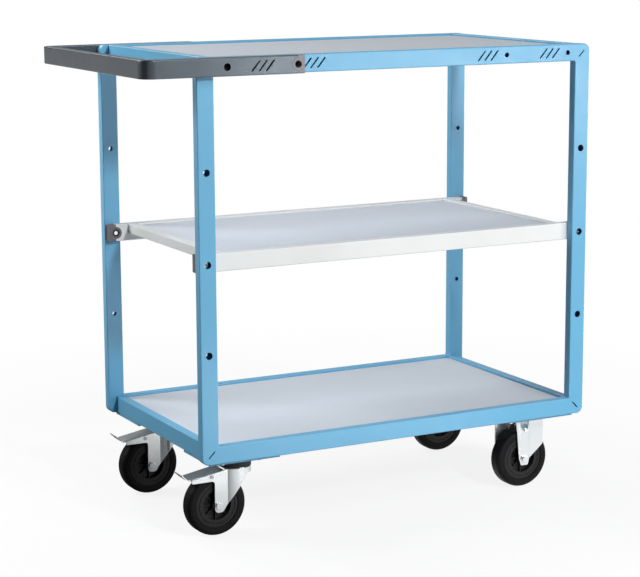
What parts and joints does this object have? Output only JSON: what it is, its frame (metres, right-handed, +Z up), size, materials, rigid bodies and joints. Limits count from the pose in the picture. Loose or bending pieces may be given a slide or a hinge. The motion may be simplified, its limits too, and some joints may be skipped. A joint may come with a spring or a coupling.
{
  "type": "shelf trolley",
  "caption": "Shelf trolley with a tube frame, boards on several levels, a bolted push handle, braked swivel casters at the handle and fixed casters at the far end.",
  "frame": {"origin": "on the floor, under the middle of the overall length and depth", "axes": "+X along the length, from the push handle to the fixed casters; +Y from the front side to the rear; +Z up"},
  "size_m": [1, 0.54, 0.945],
  "materials": {
    "blue_paint": "light blue powder coat, fine orange peel, satin",
    "grey_board": "grey melamine laminate on chipboard, satin",
    "white_paint": "white powder coat, satin",
    "pale_board": "pale grey melamine laminate on chipboard, satin",
    "dark_cap": "dark grey moulded plastic, matt",
    "light_cap": "mid grey moulded plastic, matt",
    "dark_paint": "dark grey powder coat, satin",
    "black_steel": "blackened steel screw",
    "zinc": "bright zinc-plated pressed steel",
    "bearing_steel": "ground steel",
    "shoe_rubber": "black rubber, matt",
    "tyre_rubber": "black solid rubber tread",
    "rim_plastic": "black moulded plastic, matt"
  },
  "bodies": {
    "trolley": {"front_side_frame": "blue_paint", "rear_side_frame": "blue_paint", "top_left_cross_tube": "blue_paint", "top_right_cross_tube": "blue_paint", "bottom_left_cross_tube": "blue_paint", "bottom_right_cross_tube": "blue_paint", "front_caster_bearers": "blue_paint", "rear_caster_bearers": "blue_paint", "panel_ledges": "blue_paint", "top_panel": "grey_board", "bottom_panel": "grey_board", "shelf_front_tube": "white_paint", "shelf_rear_tube": "white_paint", "shelf_left_end_rail": "white_paint", "shelf_right_end_rail": "white_paint", "shelf_panel_ledges": "white_paint", "shelf_panel": "pale_board", "shelf_end_caps": "dark_cap", "handle_end_caps": "light_cap", "push_handle": "dark_paint", "shelf_nuts": "black_steel", "handle_bolts": "black_steel", "rail_weld_nuts": "black_steel", "swivel_dust_rings": "shoe_rubber", "shelf_bolts": "zinc", "caster_bolts": "zinc", "caster_nuts": "zinc", "swivel_kingpins": "zinc", "fixed_axle_bolts": "zinc", "fixed_axle_nuts": "zinc", "front_right_fixed_bracket": "zinc", "rear_right_fixed_bracket": "zinc", "front_left_swivel_plate": "zinc", "rear_left_swivel_plate": "zinc"},
    "front_left_swivel": {"front_left_fork": "zinc", "front_left_swivel_balls": "bearing_steel", "front_left_axle_bolt": "zinc", "front_left_axle_nut": "zinc", "front_left_pedal_pins": "bearing_steel"},
    "front_left_pedal": {"front_left_brake_pedal": "zinc", "front_left_brake_shoe": "shoe_rubber"},
    "rear_left_swivel": {"rear_left_fork": "zinc", "rear_left_swivel_balls": "bearing_steel", "rear_left_axle_bolt": "zinc", "rear_left_axle_nut": "zinc", "rear_left_pedal_pins": "bearing_steel"},
    "rear_left_pedal": {"rear_left_brake_pedal": "zinc", "rear_left_brake_shoe": "shoe_rubber"},
    "front_left_wheel": {"front_left_tyre": "tyre_rubber", "front_left_rim": "rim_plastic", "front_left_bush": "bearing_steel"},
    "front_right_wheel": {"front_right_tyre": "tyre_rubber", "front_right_rim": "rim_plastic", "front_right_bush": "bearing_steel"},
    "rear_left_wheel": {"rear_left_tyre": "tyre_rubber", "rear_left_rim": "rim_plastic", "rear_left_bush": "bearing_steel"},
    "rear_right_wheel": {"rear_right_tyre": "tyre_rubber", "rear_right_rim": "rim_plastic", "rear_right_bush": "bearing_steel"}
  },
  "joints": [
    {"name": "front_left_swivel_turn", "type": "hinge", "parent": "trolley", "child": "front_left_swivel", "pos_m": [-0.279, -0.168, 0.142], "axis": [0, 0, 1], "continuous": true},
    {"name": "front_left_brake_press", "type": "hinge", "parent": "front_left_swivel", "child": "front_left_pedal", "pos_m": [-0.339, -0.168, 0.1235], "axis": [0, -1, 0], "range_deg": [0, 8]},
    {"name": "rear_left_swivel_turn", "type": "hinge", "parent": "trolley", "child": "rear_left_swivel", "pos_m": [-0.279, 0.168, 0.142], "axis": [0, 0, 1], "continuous": true},
    {"name": "rear_left_brake_press", "type": "hinge", "parent": "rear_left_swivel", "child": "rear_left_pedal", "pos_m": [-0.339, 0.168, 0.1235], "axis": [0, -1, 0], "range_deg": [0, 8]},
    {"name": "front_left_wheel_spin", "type": "hinge", "parent": "front_left_swivel", "child": "front_left_wheel", "pos_m": [-0.325, -0.168, 0.0625], "axis": [0, 1, 0], "continuous": true},
    {"name": "front_right_wheel_spin", "type": "hinge", "parent": "trolley", "child": "front_right_wheel", "pos_m": [0.394, -0.168, 0.0625], "axis": [0, 1, 0], "continuous": true},
    {"name": "rear_left_wheel_spin", "type": "hinge", "parent": "rear_left_swivel", "child": "rear_left_wheel", "pos_m": [-0.325, 0.168, 0.0625], "axis": [0, 1, 0], "continuous": true},
    {"name": "rear_right_wheel_spin", "type": "hinge", "parent": "trolley", "child": "rear_right_wheel", "pos_m": [0.394, 0.168, 0.0625], "axis": [0, 1, 0], "continuous": true}
  ]
}
